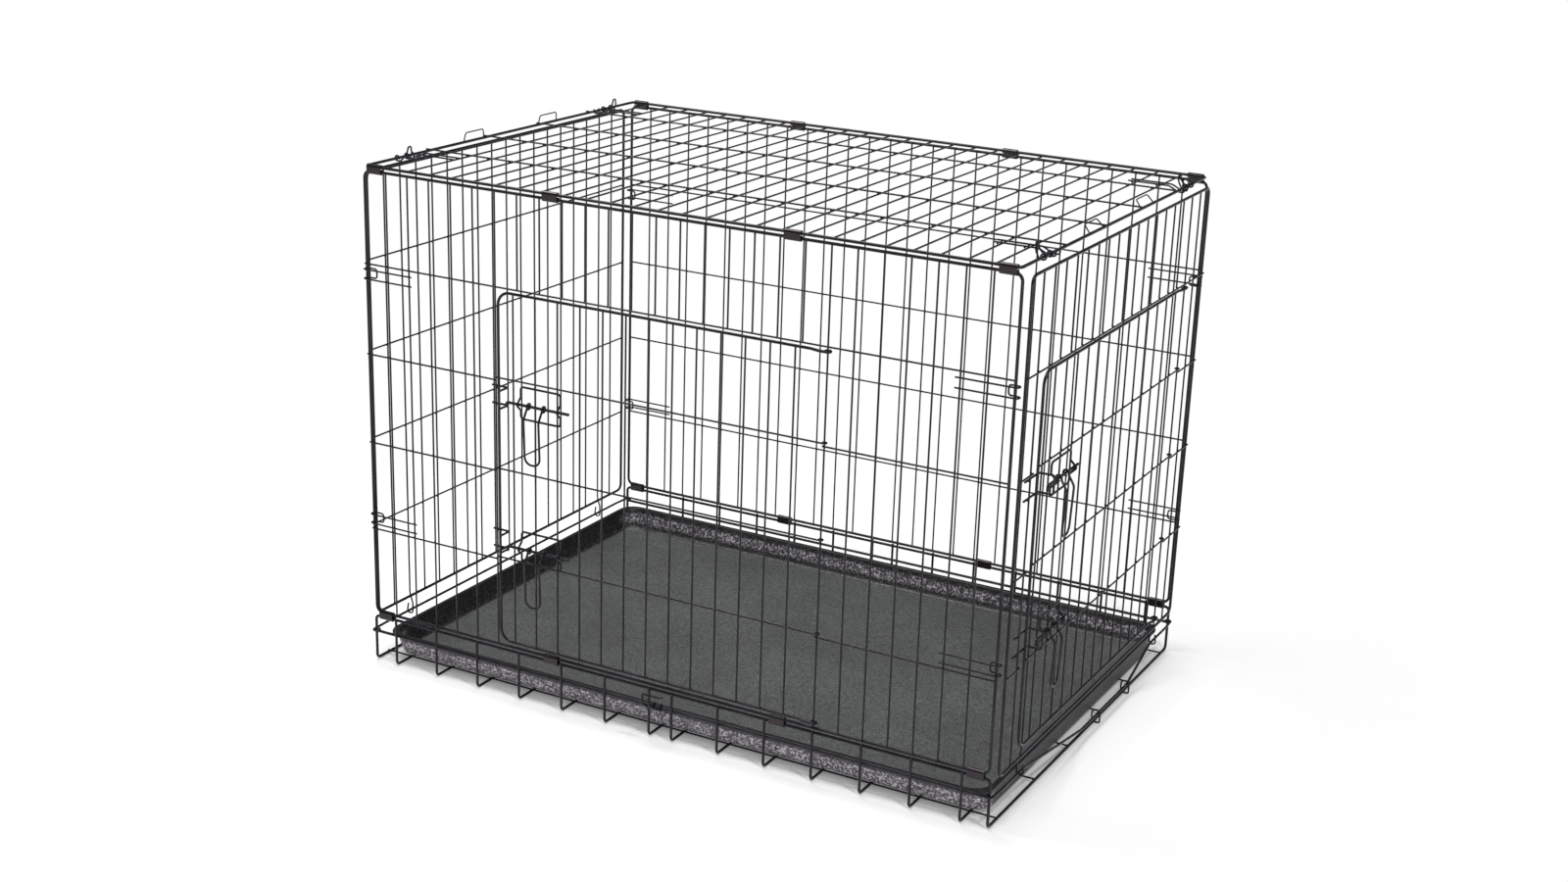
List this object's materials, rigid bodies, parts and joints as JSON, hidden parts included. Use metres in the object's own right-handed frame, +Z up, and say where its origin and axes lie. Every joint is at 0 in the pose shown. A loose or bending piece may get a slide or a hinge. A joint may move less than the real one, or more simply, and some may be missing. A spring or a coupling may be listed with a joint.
{
  "type": "pet cage",
  "caption": "Folding wire cage for a dog, with a door in the front and one in an end, sliding bolts, a lift-out tray and a roof that folds down with the sides.",
  "frame": {"origin": "on the floor, under the middle of the base, midway between the planes of the two long sides and of the two ends", "axes": "+X to the end with the door, +Y from the front with its door to the back, +Z up"},
  "size_m": [1.0811, 0.7544, 0.801],
  "materials": {
    "wire": "smooth black powder or dip coat with a soft gloss",
    "clip": "black coated strip steel with a bright gloss on its bends",
    "tray": "dark grey moulded plastic, matt, with a fine grain"
  },
  "bodies": {
    "base": {"base_grid": "wire", "base_clip_front_1": "clip", "base_clip_front_2": "clip", "base_clip_front_3": "clip", "base_clip_front_4": "clip", "base_clip_back_1": "clip", "base_clip_back_2": "clip", "base_clip_back_3": "clip", "base_clip_back_4": "clip"},
    "front": {"front_panel": "wire"},
    "back": {"back_panel": "wire"},
    "roof": {"roof_panel": "wire", "roof_clip_front_1": "clip", "roof_clip_front_2": "clip", "roof_clip_front_3": "clip", "roof_clip_front_4": "clip", "roof_clip_back_1": "clip", "roof_clip_back_2": "clip", "roof_clip_back_3": "clip", "roof_clip_back_4": "clip"},
    "left_end": {"left_end_panel": "wire"},
    "right_end": {"right_end_panel": "wire"},
    "front_door": {"front_door": "wire"},
    "end_door": {"end_door": "wire"},
    "tray": {"tray": "tray"},
    "front_upper_bolt": {"front_upper_bolt": "wire"},
    "front_upper_pull": {"front_upper_pull": "wire"},
    "front_lower_bolt": {"front_lower_bolt": "wire"},
    "front_lower_pull": {"front_lower_pull": "wire"},
    "end_upper_bolt": {"end_upper_bolt": "wire"},
    "end_upper_pull": {"end_upper_pull": "wire"},
    "end_lower_bolt": {"end_lower_bolt": "wire"},
    "end_lower_pull": {"end_lower_pull": "wire"},
    "roof_hook_right_1": {"roof_hook_right_1": "wire"},
    "roof_hook_right_2": {"roof_hook_right_2": "wire"},
    "roof_hook_left_1": {"roof_hook_left_1": "wire"},
    "roof_hook_left_2": {"roof_hook_left_2": "wire"},
    "carry_hook": {"carry_hook": "wire"}
  },
  "joints": [
    {"name": "front_fold", "type": "hinge", "parent": "base", "child": "front", "pos_m": [0, -0.358, 0.082], "axis": [-1, 0, 0], "range_deg": [0, 80]},
    {"name": "back_fold", "type": "hinge", "parent": "base", "child": "back", "pos_m": [0, 0.358, 0.082], "axis": [-1, 0, 0], "range_deg": [0, 80]},
    {"name": "roof_fold", "type": "hinge", "parent": "front", "child": "roof", "pos_m": [0, -0.358, 0.776], "axis": [-1, 0, 0], "range_deg": [-80, 0]},
    {"name": "left_end_fold", "type": "hinge", "parent": "base", "child": "left_end", "pos_m": [-0.528, 0, 0.0505], "axis": [0, 1, 0], "range_deg": [0, 89.6]},
    {"name": "right_end_fold", "type": "hinge", "parent": "base", "child": "right_end", "pos_m": [0.528, 0, 0.0505], "axis": [0, -1, 0], "range_deg": [0, 88.4]},
    {"name": "front_door_swing", "type": "hinge", "parent": "front", "child": "front_door", "pos_m": [0.25037, -0.358, 0.36], "axis": [0, 0, -1], "range_deg": [-170, 0]},
    {"name": "end_door_swing", "type": "hinge", "parent": "right_end", "child": "end_door", "pos_m": [0.528, 0.26756, 0.36], "axis": [0, 0, -1], "range_deg": [-170, 0]},
    {"name": "front_upper_bolt_slide", "type": "slide", "parent": "front_door", "child": "front_upper_bolt", "axis": [-1, 0, 0], "range_m": [-0.012, 0.012]},
    {"name": "front_upper_pull_lift", "type": "hinge", "parent": "front_upper_bolt", "child": "front_upper_pull", "pos_m": [-0.21299, -0.366, 0.47], "axis": [1, 0, 0], "range_deg": [-110, 0]},
    {"name": "front_lower_bolt_slide", "type": "slide", "parent": "front_door", "child": "front_lower_bolt", "axis": [-1, 0, 0], "range_m": [-0.012, 0.012]},
    {"name": "front_lower_pull_lift", "type": "hinge", "parent": "front_lower_bolt", "child": "front_lower_pull", "pos_m": [-0.21299, -0.366, 0.2475], "axis": [1, 0, 0], "range_deg": [-110, 0]},
    {"name": "end_upper_bolt_slide", "type": "slide", "parent": "end_door", "child": "end_upper_bolt", "axis": [0, -1, 0], "range_m": [-0.012, 0.012]},
    {"name": "end_upper_pull_lift", "type": "hinge", "parent": "end_upper_bolt", "child": "end_upper_pull", "pos_m": [0.536, -0.20998, 0.47], "axis": [0, 1, 0], "range_deg": [-110, 0]},
    {"name": "end_lower_bolt_slide", "type": "slide", "parent": "end_door", "child": "end_lower_bolt", "axis": [0, -1, 0], "range_m": [-0.012, 0.012]},
    {"name": "end_lower_pull_lift", "type": "hinge", "parent": "end_lower_bolt", "child": "end_lower_pull", "pos_m": [0.536, -0.20998, 0.2475], "axis": [0, 1, 0], "range_deg": [-110, 0]},
    {"name": "tray_lift", "type": "slide", "parent": "base", "child": "tray", "axis": [0, 0, -1], "range_m": [-0.15, 0]},
    {"name": "roof_hook_right_1_turn", "type": "hinge", "parent": "roof", "child": "roof_hook_right_1", "pos_m": [0.517, -0.275, 0.783], "axis": [0, -1, 0], "range_deg": [-180, 0]},
    {"name": "roof_hook_right_2_turn", "type": "hinge", "parent": "roof", "child": "roof_hook_right_2", "pos_m": [0.517, 0.275, 0.783], "axis": [0, -1, 0], "range_deg": [-180, 0]},
    {"name": "roof_hook_left_1_turn", "type": "hinge", "parent": "roof", "child": "roof_hook_left_1", "pos_m": [-0.517, -0.275, 0.783], "axis": [0, 1, 0], "range_deg": [-180, 0]},
    {"name": "roof_hook_left_2_turn", "type": "hinge", "parent": "roof", "child": "roof_hook_left_2", "pos_m": [-0.517, 0.275, 0.783], "axis": [0, 1, 0], "range_deg": [-180, 0]},
    {"name": "carry_hook_turn", "type": "hinge", "parent": "base", "child": "carry_hook", "pos_m": [-0.0066, -0.358, 0.049], "axis": [1, 0, 0], "range_deg": [-38, 85]}
  ],
  "couplings": [
    {"joint": "back_fold", "follows": "front_fold", "ratio": 1},
    {"joint": "roof_fold", "follows": "front_fold", "ratio": -1}
  ]
}
